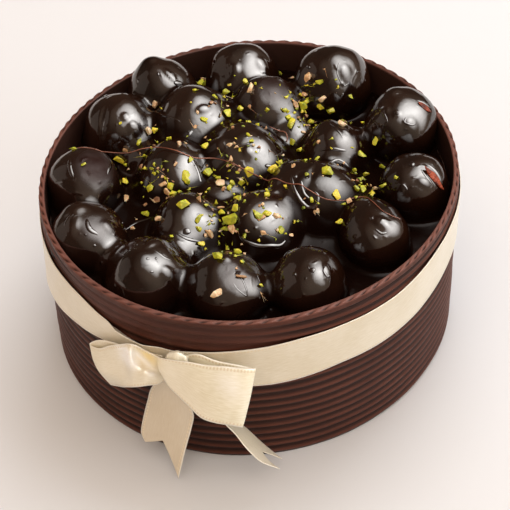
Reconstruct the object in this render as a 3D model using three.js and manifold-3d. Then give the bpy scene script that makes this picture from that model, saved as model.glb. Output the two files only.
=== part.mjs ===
// A glazed profiterole cake inside a ribbed chocolate collar, tied with a satin ribbon and bow.
// Millimetres, +Z up. The origin is the middle of the base, and +Y is the side away from the bow.

import * as THREE from "three";
import { mergeVertices } from "three/addons/utils/BufferGeometryUtils.js";
import Module from "manifold-3d";

const wasm = await Module();
wasm.setup();

// ---- driving dimensions ----

const clearance = 0.3;            // left between pieces that touch

const collarRadius = 100;         // mean radius of the crests of the ribs
const collarHeight = 92.5;
const collarWall = 2.6;
const ribCount = 19;
const ribDepth = 0.8;
const ovalness = 0.025;           // the collar is a little longer along one axis
const longAxisBearing = 45;       // degrees from +X
const aroundSteps = 43;           // facets around the cake

const glazeLevel = 75;            // the pool of glaze between the profiteroles
const edgeBevel = 1.5;            // rounding of the cake's bottom edge, so that it sits flat

const bandThickness = 0.6;
const knotBearing = -112;
const strapThickness = 0.5;       // the bow's ribbon

const lumpDepth = 0.035;          // dents in a profiterole, as a share of its radius
const profiteroleDetail = 2;

// Centre and radius of each profiterole: the outer ring from the right-hand side round, then the
// inner ring, then the middle one. Two are pressed thin between their neighbours and the wall.
const profiteroles = [
  { at: [78.5, -8.5, 85.5], radius: 14.8 },
  { at: [75, 33, 89.5], radius: 15.8 },
  { at: [44, 68.5, 89.5], radius: 17.2 },
  { at: [-1.5, 80.5, 83], radius: 18, thin: 0.86 },
  { at: [-42, 68, 88], radius: 16, thin: 0.9 },
  { at: [-64, 43.5, 85.5], radius: 16.3 },
  { at: [-80, 3.5, 85.5], radius: 15.9 },
  { at: [-76, -33.5, 85.5], radius: 14.9 },
  { at: [-48.5, -61, 85.5], radius: 17.2 },
  { at: [-12, -70, 85.5], radius: 15.8 },
  { at: [25, -68.5, 85.5], radius: 14.9 },
  { at: [58, -42, 86], radius: 13 },
  { at: [34, -13, 85.5], radius: 15.6 },
  { at: [42, 20, 85.5], radius: 12.7 },
  { at: [10.5, 54, 87.5], radius: 13.8 },
  { at: [-25.5, 41.5, 90], radius: 16.2 },
  { at: [-36.5, 7.5, 85.5], radius: 14.1 },
  { at: [-30, -27.5, 85.5], radius: 13.1 },
  { at: [3.5, -29, 85.5], radius: 14.1 },
  { at: [-2.8, 15.5, 85.5], radius: 17.4 },
];

// ---- colours and finishes ----

const finish = (color, roughness) => new THREE.MeshStandardMaterial({ color, roughness, metalness: 0 });
const spongeFinish = finish(0x2a1610, 0.35);
const collarFinish = finish(0x4a2c24, 0.45);
const glazeFinish = finish(0x1c100c, 0.08);
const ribbonFinish = finish(0xefe2c4, 0.4);

// ---- shared shapes ----

const radians = (degrees) => THREE.MathUtils.degToRad(degrees);

function ovalFactor(bearing) {
  return 1 + ovalness * Math.cos(2 * (bearing - radians(longAxisBearing)));
}

// Keeps positions only, and joins the vertices that meet.
function welded(geometry) {
  geometry.deleteAttribute("normal");
  geometry.deleteAttribute("uv");
  return mergeVertices(geometry, 1e-4);
}

// Turns an outline of [radius, height] pairs, closed or ending on the axis, and stretches the
// result into the cake's oval.
function ovalTurning(outline) {
  const points = outline.map(([radius, height]) => new THREE.Vector2(radius, height));
  const geometry = welded(new THREE.LatheGeometry(points, aroundSteps));
  geometry.rotateX(Math.PI / 2);
  const position = geometry.attributes.position;
  for (let i = 0; i < position.count; i += 1) {
    const factor = ovalFactor(Math.atan2(position.getY(i), position.getX(i)));
    position.setX(i, position.getX(i) * factor);
    position.setY(i, position.getY(i) * factor);
  }
  return geometry;
}

function asSolid(geometry) {
  const vertProperties = new Float32Array(geometry.attributes.position.array);
  const triVerts = new Uint32Array(geometry.index.array);
  return new wasm.Manifold(new wasm.Mesh({ numProp: 3, vertProperties, triVerts }));
}

function asGeometry(solid) {
  const mesh = solid.getMesh();
  const geometry = new THREE.BufferGeometry();
  geometry.setAttribute("position", new THREE.BufferAttribute(mesh.vertProperties, 3));
  geometry.setIndex(new THREE.BufferAttribute(mesh.triVerts, 1));
  return geometry;
}

function piece(name, geometry, material) {
  const mesh = new THREE.Mesh(geometry, material);
  mesh.name = name;
  return mesh;
}

// ---- chocolate collar ----

// A tall band whose outer face is a row of level ribs and whose inner face is smooth.
function collarGeometry() {
  const pitch = collarHeight / ribCount;
  const inside = collarRadius - collarWall - ribDepth;
  const outline = [[inside, collarHeight], [inside, 0]];
  for (let rib = 0; rib < ribCount; rib += 1) {
    outline.push([collarRadius - ribDepth, rib * pitch]);
    outline.push([collarRadius, (rib + 0.5) * pitch]);
  }
  outline.push([collarRadius - ribDepth, collarHeight]);
  outline.push([inside, collarHeight]);
  return ovalTurning(outline);
}

// ---- profiteroles ----

// A choux ball with shallow dents, no two alike, which never reach past its own radius.
function profiteroleGeometry(number, { at, radius, thin = 1 }, extra) {
  const geometry = welded(new THREE.IcosahedronGeometry(1, profiteroleDetail));
  const position = geometry.attributes.position;
  const point = new THREE.Vector3();
  for (let i = 0; i < position.count; i += 1) {
    point.fromBufferAttribute(position, i);
    const wave = Math.sin(3 * point.x + number) * Math.sin(4 * point.y + 2 * number + 2 * point.z);
    point.multiplyScalar(radius * (1 - lumpDepth * (0.5 + 0.5 * wave)) + extra);
    position.setXYZ(i, point.x, point.y, point.z);
  }
  const bearing = Math.atan2(at[1], at[0]);
  geometry.rotateZ(-bearing);
  geometry.scale(thin, 1, 1);
  geometry.rotateZ(bearing);
  geometry.translate(...at);
  return geometry;
}

// ---- cake ----

// The cake up to its pool of glaze, with a seat for each profiterole.
function bodyGeometry() {
  const radius = collarRadius - collarWall - ribDepth - clearance;
  const outline = [[0, 0], [radius - edgeBevel, 0], [radius, edgeBevel], [radius, glazeLevel], [0, glazeLevel]];
  let solid = asSolid(ovalTurning(outline));
  profiteroles.forEach((ball, index) => {
    solid = solid.subtract(asSolid(profiteroleGeometry(index, ball, clearance)));
  });
  return asGeometry(solid);
}

// ---- ribbon round the collar ----

// The band's edges: degrees to the right of the knot, its upper edge and its lower edge.
const bandStops = [
  [0, 71.6, 58], [12, 75, 53], [20, 76.8, 52], [33, 79.1, 52.8], [44, 79.7, 54.8], [63, 79.8, 55.4],
  [82, 84, 58.8], [110, 84, 59], [150, 81.5, 56.5], [200, 80, 55], [290, 80, 55], [315, 80.2, 54.5],
  [331, 80, 56.6], [342, 75.4, 60.7], [353, 72.6, 60], [360, 71.6, 58],
];

// Lowest and highest point of the band at a bearing in degrees.
function bandEdges(bearing) {
  const turned = (bearing - knotBearing + 720) % 360;
  const next = Math.max(1, bandStops.findIndex(([stop]) => stop >= turned));
  const [from, high, low] = bandStops[next - 1];
  const [to, nextHigh, nextLow] = bandStops[next];
  const share = (turned - from) / (to - from);
  return [THREE.MathUtils.lerp(low, nextLow, share), THREE.MathUtils.lerp(high, nextHigh, share)];
}

function bandGeometry() {
  const inside = collarRadius + clearance;
  const outside = inside + bandThickness;
  const outline = [[inside, 1], [inside, 0], [outside, 0], [outside, 1], [inside, 1]];
  const geometry = ovalTurning(outline);
  const position = geometry.attributes.position;
  for (let i = 0; i < position.count; i += 1) {
    const bearing = THREE.MathUtils.radToDeg(Math.atan2(position.getY(i), position.getX(i)));
    const [low, high] = bandEdges(bearing);
    position.setZ(i, position.getZ(i) > 0.5 ? high : low);
  }
  return geometry;
}

// ---- bow ----

// A place near the knot: millimetres along the wall to the right of the knot, out from the wall,
// and up from the base.
function byTheWall([along, out, up]) {
  const bearing = radians(knotBearing) + along / collarRadius;
  const radius = collarRadius * ovalFactor(bearing) + out;
  return new THREE.Vector3(radius * Math.cos(bearing), radius * Math.sin(bearing), up);
}

// A length of ribbon through matching rails, listed from its upper or left edge to its lower or
// right one, each rail a few places along the ribbon.
function strapGeometry(rails, steps) {
  const curves = rails.map((rail) => new THREE.CatmullRomCurve3(rail.map(byTheWall), false, "centripetal"));
  const grid = [];
  for (let step = 0; step <= steps; step += 1) {
    grid.push(curves.map((curve) => curve.getPoint(step / steps)));
  }
  const across = rails.length;
  const faceNormal = (row, column) => {
    const ahead = grid[Math.min(row + 1, steps)][column].clone().sub(grid[Math.max(row - 1, 0)][column]);
    const aside = grid[row][Math.min(column + 1, across - 1)].clone().sub(grid[row][Math.max(column - 1, 0)]);
    return ahead.cross(aside).normalize();
  };
  const vertices = [];
  for (const side of [0.5, -0.5]) {
    grid.forEach((points, row) => points.forEach((point, column) => {
      vertices.push(...point.clone().addScaledVector(faceNormal(row, column), side * strapThickness));
    }));
  }
  const front = (row, column) => row * across + column;
  const back = (row, column) => (steps + 1) * across + front(row, column);
  const faces = [];
  const quad = (a, b, c, d) => faces.push(a, b, c, a, c, d);
  for (let row = 0; row < steps; row += 1) {
    for (let column = 0; column + 1 < across; column += 1) {
      quad(front(row, column), front(row + 1, column), front(row + 1, column + 1), front(row, column + 1));
      quad(back(row, column), back(row, column + 1), back(row + 1, column + 1), back(row + 1, column));
    }
    quad(front(row, 0), back(row, 0), back(row + 1, 0), front(row + 1, 0));
    const last = across - 1;
    quad(front(row, last), front(row + 1, last), back(row + 1, last), back(row, last));
  }
  for (let column = 0; column + 1 < across; column += 1) {
    quad(front(0, column), front(0, column + 1), back(0, column + 1), back(0, column));
    quad(front(steps, column), back(steps, column), back(steps, column + 1), front(steps, column + 1));
  }
  const geometry = new THREE.BufferGeometry();
  geometry.setAttribute("position", new THREE.Float32BufferAttribute(vertices, 3));
  geometry.setIndex(faces);
  return geometry;
}

// Each loop leaves the knot along the wall, folds, and comes back over itself to the front.
const rightLoopRails = [
  [[11, 3, 75], [21, 3.4, 72.3], [28.5, 4, 71], [35, 5, 69.8], [37.6, 6.5, 70.6], [35, 7.5, 71.6],
    [24, 6.8, 72.8], [10.5, 7, 73.8], [0.5, 7.3, 73.3], [-2.2, 7, 72.8]],
  [[11, 4, 67], [19.5, 6.5, 64.5], [27.5, 9, 63], [33.5, 10.5, 62.5], [35.7, 12, 63.2], [33.5, 14, 64.2],
    [23, 12.5, 65.5], [9.5, 9.5, 68], [0.5, 8.2, 70], [-1.6, 7.8, 70.6]],
  [[11.5, 5.5, 59], [20, 10, 56.5], [27.3, 14, 55.5], [32, 16, 55], [33.8, 17.5, 55.8], [32, 19, 56.7],
    [22.5, 17.5, 58], [8.2, 11.5, 62], [0, 8.8, 66], [-1.2, 8.5, 68]],
  [[14, 8, 51.5], [21, 13, 48.5], [27, 17.5, 47.5], [31, 20, 47.5], [32, 21.3, 48.3], [30.5, 21.8, 49.3],
    [22, 20.8, 50.5], [6.5, 12.6, 56], [-0.8, 9.4, 63.2], [-2, 8.8, 65.5]],
];
const leftLoopRails = [
  [[-3, 2.2, 68.5], [-13, 2.4, 68], [-28, 3.4, 66.4], [-37.2, 4.8, 61.5], [-39.6, 6, 58.6], [-34.6, 6, 59.5],
    [-28.2, 5.5, 65.3], [-21.3, 5.5, 70.9], [-15.7, 6.5, 75], [-10.3, 5, 72.6], [-4.6, 4.8, 70.4]],
  [[-3, 2.2, 62.5], [-13, 2.6, 58], [-27, 3.6, 52], [-34.8, 5.4, 48], [-36.3, 7, 47], [-30.5, 7.8, 50.5],
    [-24.2, 7.8, 56], [-18.5, 8.6, 61.5], [-12.8, 12, 68], [-9.7, 8, 64.7], [-4.6, 5.5, 63.1]],
  [[-3, 2.5, 56], [-11.5, 3.2, 50], [-23, 4.2, 41.5], [-28.8, 4.8, 38], [-30.2, 5.9, 37], [-24.2, 7.5, 41.5],
    [-18.6, 11, 48.6], [-14.4, 13.5, 53.7], [-11.3, 14, 56.1], [-6.3, 13, 58.6], [-3.6, 9.5, 56.7]],
];
const leftTailRails = [
  [[-6.3, 4, 51], [-9.7, 4.4, 45], [-11.5, 6, 35], [-13.6, 8, 22.4], [-11.3, 11, 13.8]],
  [[0.8, 5.4, 51], [0.8, 6.8, 45], [-0.1, 8.8, 34], [-1.5, 10.6, 25], [-2.5, 12, 18.5]],
  [[7.2, 6.6, 51], [10.4, 8, 45], [10.9, 10, 35], [9, 13, 22.5], [5.2, 18, 2.4]],
];
const rightTailRails = [
  [[12.5, 2.8, 42], [20, 2.8, 36], [30.7, 4, 28.3], [38.2, 5, 17.5], [47.4, 8, 6.2]],
  [[13.5, 5.6, 45], [20.4, 7.2, 41.5], [28, 9, 34.5], [34, 11.6, 27.5], [40.5, 13.8, 18]],
  [[14.5, 8.2, 47.5], [20.5, 11.2, 45.5], [25.1, 14, 40.8], [32.8, 20, 32], [45.2, 21, 15.9]],
];

// The turn of ribbon that holds the bow, which the right-hand loop hides.
function knotGeometry() {
  const geometry = welded(new THREE.SphereGeometry(1, 12, 8));
  geometry.scale(4.1, 1.9, 7);
  geometry.rotateZ(radians(knotBearing + 90));
  const middle = byTheWall([4.6, 3.6, 67.4]);
  geometry.translate(middle.x, middle.y, middle.z);
  return geometry;
}

// ---- assembly ----

const group = new THREE.Group();
group.add(piece("cake_body", bodyGeometry(), spongeFinish));
group.add(piece("chocolate_collar", collarGeometry(), collarFinish));
profiteroles.forEach((ball, index) => {
  const name = `profiterole_${String(index + 1).padStart(2, "0")}`;
  group.add(piece(name, profiteroleGeometry(index, ball, 0), glazeFinish));
});
group.add(piece("ribbon_band", bandGeometry(), ribbonFinish));
group.add(piece("bow_loop_left", strapGeometry(leftLoopRails, 20), ribbonFinish));
group.add(piece("bow_loop_right", strapGeometry(rightLoopRails, 20), ribbonFinish));
group.add(piece("bow_tail_left", strapGeometry(leftTailRails, 9), ribbonFinish));
group.add(piece("bow_tail_right", strapGeometry(rightTailRails, 12), ribbonFinish));
group.add(piece("bow_knot", knotGeometry(), ribbonFinish));

export default group;
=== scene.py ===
# A profiterole cake: choux balls under poured chocolate glaze, chopped pistachios, a ribbed
# chocolate collar, and a cream satin ribbon tied in a bow. Metres, +Z up, the bow on the -Y side.

import math
import random

import bmesh
import bpy
import numpy as np
from mathutils import Matrix, Vector
from mathutils.bvhtree import BVHTree


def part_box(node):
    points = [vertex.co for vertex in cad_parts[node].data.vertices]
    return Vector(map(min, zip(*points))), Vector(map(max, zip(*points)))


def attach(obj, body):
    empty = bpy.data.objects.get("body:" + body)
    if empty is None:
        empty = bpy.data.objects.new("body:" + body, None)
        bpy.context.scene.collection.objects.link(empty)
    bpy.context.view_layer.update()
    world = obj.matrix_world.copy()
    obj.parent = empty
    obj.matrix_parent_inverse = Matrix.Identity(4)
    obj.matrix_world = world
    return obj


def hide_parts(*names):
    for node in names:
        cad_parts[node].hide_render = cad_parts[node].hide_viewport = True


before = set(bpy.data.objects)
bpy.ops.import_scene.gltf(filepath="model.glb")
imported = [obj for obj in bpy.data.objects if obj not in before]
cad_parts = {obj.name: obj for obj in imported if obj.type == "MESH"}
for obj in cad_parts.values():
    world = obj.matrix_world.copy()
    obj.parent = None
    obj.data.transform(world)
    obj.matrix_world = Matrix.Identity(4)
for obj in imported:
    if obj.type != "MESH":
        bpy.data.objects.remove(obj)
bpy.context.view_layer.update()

mm = 0.001


# ---- Cake ----
# The cake itself is hidden by the collar and the glaze: only its flat underside shows when it is
# lifted. It is a dark, close sponge, cut level, with small open crumbs along the cut.

class Number:
    """A value that varies over a surface. Sums and products of values add their Math nodes."""

    def __init__(self, tree, socket):
        self.tree = tree
        self.socket = socket

    def math(self, operation, *values):
        node = self.tree.nodes.new("ShaderNodeMath")
        node.operation = operation
        for socket, value in zip(node.inputs, values):
            if isinstance(value, Number):
                self.tree.links.new(value.socket, socket)
            else:
                socket.default_value = value
        return Number(self.tree, node.outputs[0])

    def __add__(self, other):
        return self.math("ADD", self, other)

    def __radd__(self, other):
        return self.math("ADD", other, self)

    def __sub__(self, other):
        return self.math("SUBTRACT", self, other)

    def __rsub__(self, other):
        return self.math("SUBTRACT", other, self)

    def __mul__(self, other):
        return self.math("MULTIPLY", self, other)

    def __rmul__(self, other):
        return self.math("MULTIPLY", other, self)

    def __pow__(self, other):
        return self.math("POWER", self, other)


class Shading:
    """A node tree, and the one way in which nodes that aren't sums or products are added to it."""

    def __init__(self, tree):
        self.tree = tree

    def node(self, kind, settings=None, sockets=None):
        """Adds a node: its settings first, then the values or links of its sockets."""
        node = self.tree.nodes.new(kind)
        for key, value in (settings or {}).items():
            if key == "stops":
                self.set_stops(node.color_ramp, value)
            else:
                setattr(node, key, value)
        for key, value in (sockets or {}).items():
            self.feed(node.inputs[key], value)
        return node

    def set_stops(self, ramp, stops):
        while len(ramp.elements) < len(stops):
            ramp.elements.new(0.5)
        for element, (position, colour) in zip(ramp.elements, stops):
            element.position = position
            element.color = (*colour, 1)

    def feed(self, socket, value):
        value = value.socket if isinstance(value, Number) else value
        if isinstance(value, bpy.types.NodeSocket):
            self.tree.links.new(value, socket)
        else:
            socket.default_value = value

    def number(self, socket):
        return Number(self.tree, socket)


class Finish(Shading):
    """A material on one Principled shader. Keyword values are set on the shader's own sockets."""

    def __init__(self, name, **uniform):
        self.material = bpy.data.materials.new(name)
        self.material.use_nodes = True
        super().__init__(self.material.node_tree)
        self.shader = self.tree.nodes["Principled BSDF"]
        for socket, value in uniform.items():
            self.shader.inputs[socket.replace("_", " ")].default_value = value
        self.place = self.node("ShaderNodeTexCoord").outputs["Object"]

    def noise(self, scale, detail=3, stretch=(1, 1, 1), place=None):
        mapped = self.node("ShaderNodeMapping", None, {"Vector": place or self.place, "Scale": stretch})
        noise = self.node("ShaderNodeTexNoise", None, {
            "Vector": mapped.outputs[0], "Scale": scale, "Detail": detail})
        return self.number(noise.outputs["Fac"])

    def attribute(self, name):
        """An amount that mark() keeps for each point of a piece."""
        return self.number(self.node("ShaderNodeAttribute", {"attribute_name": name}).outputs["Fac"])

    def ramp(self, value, *stops):
        return self.node("ShaderNodeValToRGB", {"stops": stops}, {"Fac": value}).outputs["Color"]

    def blend(self, amount, first, second):
        return self.node("ShaderNodeMix", {"data_type": "RGBA"}, {0: amount, 6: first, 7: second}).outputs[2]

    def bump(self, height, distance, strength=1.0):
        bump = self.node("ShaderNodeBump", None, {
            "Height": height, "Distance": distance, "Strength": strength})
        self.feed(self.shader.inputs["Normal"], bump.outputs[0])

    def paint(self, **linked):
        for socket, value in linked.items():
            self.feed(self.shader.inputs[socket.replace("_", " ")], value)


def sponge_finish():
    finish = Finish("dark_sponge", Roughness=0.85)
    crumb = finish.noise(900, 5)
    finish.paint(Base_Color=finish.ramp(crumb, (0.3, (0.02, 0.008, 0.005)), (0.7, (0.07, 0.03, 0.017))))
    finish.bump(crumb, 0.6 * mm)
    return finish.material


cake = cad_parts["cake_body"]
cake.data.materials.clear()
cake.data.materials.append(sponge_finish())


# ---- Chocolate collar ----
# A band of dark chocolate spread over a ribbed sheet and wrapped round the cake while it is still
# soft. Its outer face keeps level ribs, its inner face is smooth, and its upper edge is nicked.

collar_low, collar_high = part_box("chocolate_collar")
collar_height = collar_high.z
ovalness = 0.025
long_axis = math.radians(45)
collar_radius = (collar_high.x - collar_low.x) / 2
collar_wall = 3.0 * mm
rib_count = 19
rib_height = 0.95 * mm
nick_count = 92
spin_angle = 4
hoop_cuts = 7


def oval(bearing):
    """How far out the oval lies at a bearing, as a share of its mean radius."""
    return 1 + ovalness * np.cos(2 * (bearing - long_axis))


def ease(start, end, value):
    share = np.clip((value - start) / (end - start), 0, 1)
    return share * share * (3 - 2 * share)


def coordinates(mesh):
    flat = np.empty(len(mesh.vertices) * 3)
    mesh.vertices.foreach_get("co", flat)
    return flat.reshape(-1, 3)


def set_coordinates(mesh, points):
    mesh.vertices.foreach_set("co", points.ravel())
    mesh.update()


def wobble(seed, *directions):
    """A slow, repeatable unevenness from -1 to 1 along the given values."""
    draw = random.Random(seed)
    total = 0
    for octave in (1, 2.3, 4.9):
        phase = draw.uniform(0, 6.28)
        for value in directions:
            phase = phase + value * octave * draw.uniform(0.7, 1.3)
        total = total + np.sin(phase) / octave
    return total / 1.64


def new_piece(name, bm, finish, slot, *replaced):
    """Makes a finished object of a bmesh: smooth-shaded, on the root body, with the finish as its material.
    The slot is not used.
    """
    mesh = bpy.data.meshes.new(name)
    bm.to_mesh(mesh)
    bm.free()
    mesh.shade_smooth()
    mesh.materials.append(finish)
    piece = bpy.data.objects.new(name, mesh)
    bpy.context.scene.collection.objects.link(piece)
    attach(piece, "root")
    if replaced:
        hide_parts(*replaced)
    return piece


def mark(piece, **amounts):
    """Keeps named amounts from 0 to 1 for each point of a piece, for its finish to read."""
    for name, amount in amounts.items():
        layer = piece.data.attributes.new(name, "FLOAT", "POINT")
        layer.data.foreach_set("value", np.clip(amount, 0, 1))


def collar_section():
    """The collar's cut face as [radius, height] pairs, up the outside, over the edge and down."""
    pitch = collar_height / rib_count
    section = []
    level = 0
    while level < collar_height - 2.4 * mm:
        ridge = (0.5 - 0.5 * math.cos(2 * math.pi * level / pitch)) ** 1.2
        section.append((collar_radius - rib_height * (1 - ridge), level))
        under_ribbon = 58 * mm < level < 74 * mm
        level += pitch / (4 if under_ribbon else 6 if level < 78 * mm else 9)
    outside = collar_radius - rib_height * 0.4
    inside = outside - collar_wall + rib_height / 2
    for out, down in ((0, 1.5), (0.1, 0.9), (0.05, 0.5), (-0.15, 0.2), (-0.4, 0.05), (-0.7, 0),
                      (-1.0, 0), (-1.4, 0), (-1.9, 0.02), (-2.3, 0.15)):
        section.append((outside + out * mm, collar_height - down * mm))
    for down in (0.6, 1.3, 3, 6, 12, 25, 45, 70, 92.5):
        section.append((inside, collar_height - down * mm))
    return section


def chocolate_finish():
    finish = Finish("collar_chocolate", Specular_IOR_Level=0.18)
    streaks = finish.noise(45, 4, (1, 1, 9))
    cloud = finish.noise(22, 3)
    tone = finish.ramp(streaks * 0.4 + cloud * 0.6,
                       (0.35, (0.073, 0.0200, 0.0108)), (0.65, (0.128, 0.0400, 0.0240)))
    # Painted shade: the rib grooves and the nicks along the edge are painted darker.
    valley = finish.attribute("valley")
    tone = finish.blend(valley, tone, (0.021, 0.0062, 0.0036, 1))
    # Painted shade: the inner face of the collar is painted darker.
    inner = finish.attribute("inner")
    tone = finish.blend(inner, tone, (0.042, 0.0175, 0.0120, 1))
    # Painted highlight: the top of the edge is painted lighter, less so at the back.
    edge = finish.attribute("edge")
    finish.paint(Base_Color=finish.blend(edge, tone, (0.165, 0.064, 0.047, 1)))
    finish.paint(Roughness=0.38 + finish.noise(300, 3) * 0.2)
    finish.bump(finish.noise(260, 4, (1, 1, 6)), 0.1 * mm)
    return finish.material


bm = bmesh.new()
section = collar_section()
corners = [bm.verts.new((radius, 0, height)) for radius, height in section]
edges = [bm.edges.new((corners[i - 1], corners[i])) for i in range(len(corners))]
bmesh.ops.spin(bm, geom=corners + edges, cent=(0, 0, 0), axis=(0, 0, 1), angle=2 * math.pi,
               steps=360 // spin_angle, use_merge=True, use_duplicate=False)
hoops = [edge for edge in bm.edges if abs(edge.verts[0].co.z - edge.verts[1].co.z) < 1e-6
         and abs(edge.verts[0].co.xy.length - edge.verts[1].co.xy.length) < 1e-6]
bmesh.ops.subdivide_edges(bm, edges=hoops, cuts=hoop_cuts)
bmesh.ops.recalc_face_normals(bm, faces=bm.faces)
collar = new_piece("collar", bm, chocolate_finish(), "collar_chocolate", "chocolate_collar")
points = coordinates(collar.data)
bearing = np.arctan2(points[:, 1], points[:, 0])
turned = np.degrees(bearing)
radius = np.hypot(points[:, 0], points[:, 1])
# The points that the cuts added lie on straight chords, and move out to the round wall.
radius = radius / np.cos(np.radians((turned + spin_angle / 2) % spin_angle - spin_angle / 2))
height = points[:, 2].copy()
around = bearing * collar_radius / mm / 9
outside = np.clip((radius - collar_radius + rib_height * 1.4 + 0.4 * mm) / (0.4 * mm), 0, 1)
# The ribs are smeared flat above the bow, where the collar was pressed.
smeared = 0.75 * ease(-160, -142, turned) * (1 - ease(-95, -70, turned))
smeared = smeared * outside * ease(0.070, 0.078, height) * (1 - ease(0.0895, 0.0905, height))
radius = radius + smeared * (collar_radius - 0.35 * rib_height - radius)
at_rim = ease(collar_height - 2.2 * mm, collar_height - 0.6 * mm, height)
depth = (radius - collar_radius) / mm
# Fine lines ring the collar between the ribbon and the edge, faint scratches on its left side.
fine = ease(0.078, 0.081, height) * (1 - ease(0.0885, 0.0895, height)) * outside * (1 - smeared)
to_the_left = ease(-200, -170, turned) * (1 - ease(-150, -138, turned)) + ease(120, 150, turned)
lines = 0.34 * np.cos(2 * math.pi * height / (2.35 * mm) + 1.2 * wobble(9, around / 12))
scratches = 0.22 * to_the_left * np.maximum(0, np.sin(height / mm * 3.1 + 4 * wobble(10, around / 6)))
# The edge is nipped along its outer side in short slanting dashes.
nick = np.sin(nick_count * bearing + 1.9 * depth + 0.6 * wobble(3, around))
dash = np.clip(nick * 2.6 - 0.1, 0, 1) * at_rim * np.exp(-((depth + 1.15) / 0.65) ** 2)
bead = nick * at_rim * np.exp(-((depth + 0.3) / 0.8) ** 2)
uneven = 0.12 * wobble(6, around, height / mm / 5) + 0.14 * wobble(7, around / 5, height / mm / 30)
radius = radius + mm * outside * (uneven - 0.12 * bead) + mm * (fine * lines - outside * scratches)
height = height - mm * (0.8 * dash + 0.12 * bead) + mm * at_rim * 0.3 * (wobble(5, around / 4) - 1)
sway = 0.25 * wobble(8, around / 3, height / mm / 8) * ease(0, 6 * mm, height)
height = height + mm * outside * (1 - at_rim) * sway
out = radius * oval(bearing)
points = np.column_stack([out * np.cos(bearing), out * np.sin(bearing), np.clip(height, 0, collar_height)])
set_coordinates(collar.data, points)
# The painted highlight along the top of the edge, weaker at the back, and the painted shade in the grooves,
# the nicks and on the inner face.
at_back = ease(0.1, 0.6, np.sin(bearing))
inner_edge = -2.6 + 1.1 * ease(0.2, 0.8, -np.sin(bearing))
rim_highlight_mask = ease(collar_height - 1.5 * mm, collar_height - 0.5 * mm, height + 0.8 * mm * dash)
mark(collar, edge=rim_highlight_mask * (0.85 - 0.65 * at_back) * (1 - dash),
     valley=np.maximum(outside * (1 - at_rim) * np.clip(-depth / 0.8, 0, 1), dash),
     inner=1 - ease(inner_edge - 0.2, inner_edge + 0.2, depth))


# ---- Profiteroles ----
# Small choux balls, baked until the crust is brown and crazed, then stood in rings on the cake.
# The glaze hides them all, and shows their shapes.

profiterole_names = sorted(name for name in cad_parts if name.startswith("profiterole"))
coat = 2.6 * mm


def choux_finish():
    finish = Finish("choux_crust", Roughness=0.45, Specular_IOR_Level=0.25)
    patches = finish.noise(330, 4)
    finish.paint(Base_Color=finish.ramp(
        patches, (0.38, (0.045, 0.005, 0.002)), (0.62, (0.31, 0.048, 0.011))))
    finish.bump(finish.noise(600, 5), 0.9 * mm)
    return finish.material


crust = choux_finish()
balls = []
for number, name in enumerate(profiterole_names):
    low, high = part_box(name)
    centre = (low + high) / 2
    half = (high - low) / 2
    balls.append((centre, half))
    bm = bmesh.new()
    bmesh.ops.create_icosphere(bm, subdivisions=4, radius=1)
    for vertex in bm.verts:
        lump = 1 - 0.02 * math.sin(5 * vertex.co.x + number) * math.cos(6 * vertex.co.y + 3 * vertex.co.z)
        vertex.co = centre + Vector(size - coat for size in half) * vertex.co * lump
    new_piece(name.replace("profiterole", "choux_ball"), bm, crust, "choux", name)


# ---- Poured glaze ----
# Warm, shiny chocolate glaze poured over the profiteroles. It coats each one, fills the valleys
# between them, bridges their narrow gaps in webs and runs out into a pool along the collar.

pool_level = 75.4
valley_level = 79.0
inner_radius = collar_radius / mm - collar_wall / mm - rib_height / mm / 4
glaze_grain = 0.98 * mm
# Where the glaze set dull: place and reach in millimetres, and how dull.
dull_spots = [
    (-72, -1, 99, 11, 1.0), (14, 50, 100, 9, 0.75), (-8, -76, 97, 8, 0.5), (-71, -41, 97, 8, 0.5),
]
# Blisters and dents in the coat: place, length, width, bearing and height in millimetres and degrees.
bumps = [
    (-55.5, 31.5, 6, 4.6, 20, 0.8), (-59.5, 35, 4, 3.6, 0, 0.6), (-37.5, 61.2, 7.4, 3.4, -40, 0.7),
    (9.5, 75, 7.4, 6.4, 0, 0.9), (-5.5, 71, 5.4, 5, 60, 0.8), (50, 58, 6.6, 5.8, 70, 0.55),
    (79, 19.5, 6.8, 6, 30, 0.9), (66.5, 27.5, 5, 4.2, 120, 0.7), (72, 23.5, 3.6, 2.8, 0, 0.5),
    (81, -19.5, 6.4, 3.8, -10, 0.7), (70, -20, 4.6, 3.2, 0, 0.6), (59, -46, 7.6, 5.2, -30, 0.9),
    (32.6, -75, 8.4, 4, 95, 0.9), (-38, -72, 6.4, 5.8, 0, 1.0), (-65, -38, 6.8, 6, 0, 1.0),
    (0, 5, 5.4, 4.8, 30, 0.8), (-21, 33, 6.8, 3.4, 20, 0.7), (39, -4, 5.8, 3.6, 70, 0.7),
    (47, 17, 5.4, 3.4, 150, 0.7), (-12, -66, 5.6, 4, 100, 0.7), (17, 59, 5.4, 3.2, 140, 0.7),
    (-53, -68, 17, 13, -20, 1.8), (-82, -38, 10, 7, 80, 0.9), (-70, 36, 13, 4, 80, -0.6),
    (-44, -56, 14, 5, 50, 0.8), (12, -24, 9, 5, 30, -0.7), (66, -38, 10, 5, 60, -0.6),
    (0, 24, 12, 5, 10, 0.7), (24, -20, 9, 5, 60, 0.9), (30, -14, 10, 4, 70, -0.7),
    (-81, -27, 14, 12, 60, 2.0), (70, 40, 12, 10, 30, 1.5), (-48, 74, 12, 10, 30, 1.4),
    (-2, -68, 9, 9, 0, -0.9), (-17, 12, 12, 10, 0, 1.6), (37, 27, 12, 9, 20, 1.6),
]


def ripple(seed, places, size):
    """A smooth unevenness from about -1 to 1 whose humps are about size across."""
    draw = np.random.RandomState(seed)
    total = 0
    for _ in range(10):
        direction = draw.normal(size=places.shape[1])
        direction *= draw.uniform(0.6, 1.5) * math.pi / size / np.linalg.norm(direction)
        total = total + np.cos(places @ direction + draw.uniform(0, 6.28))
    return total / 3.2


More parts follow.
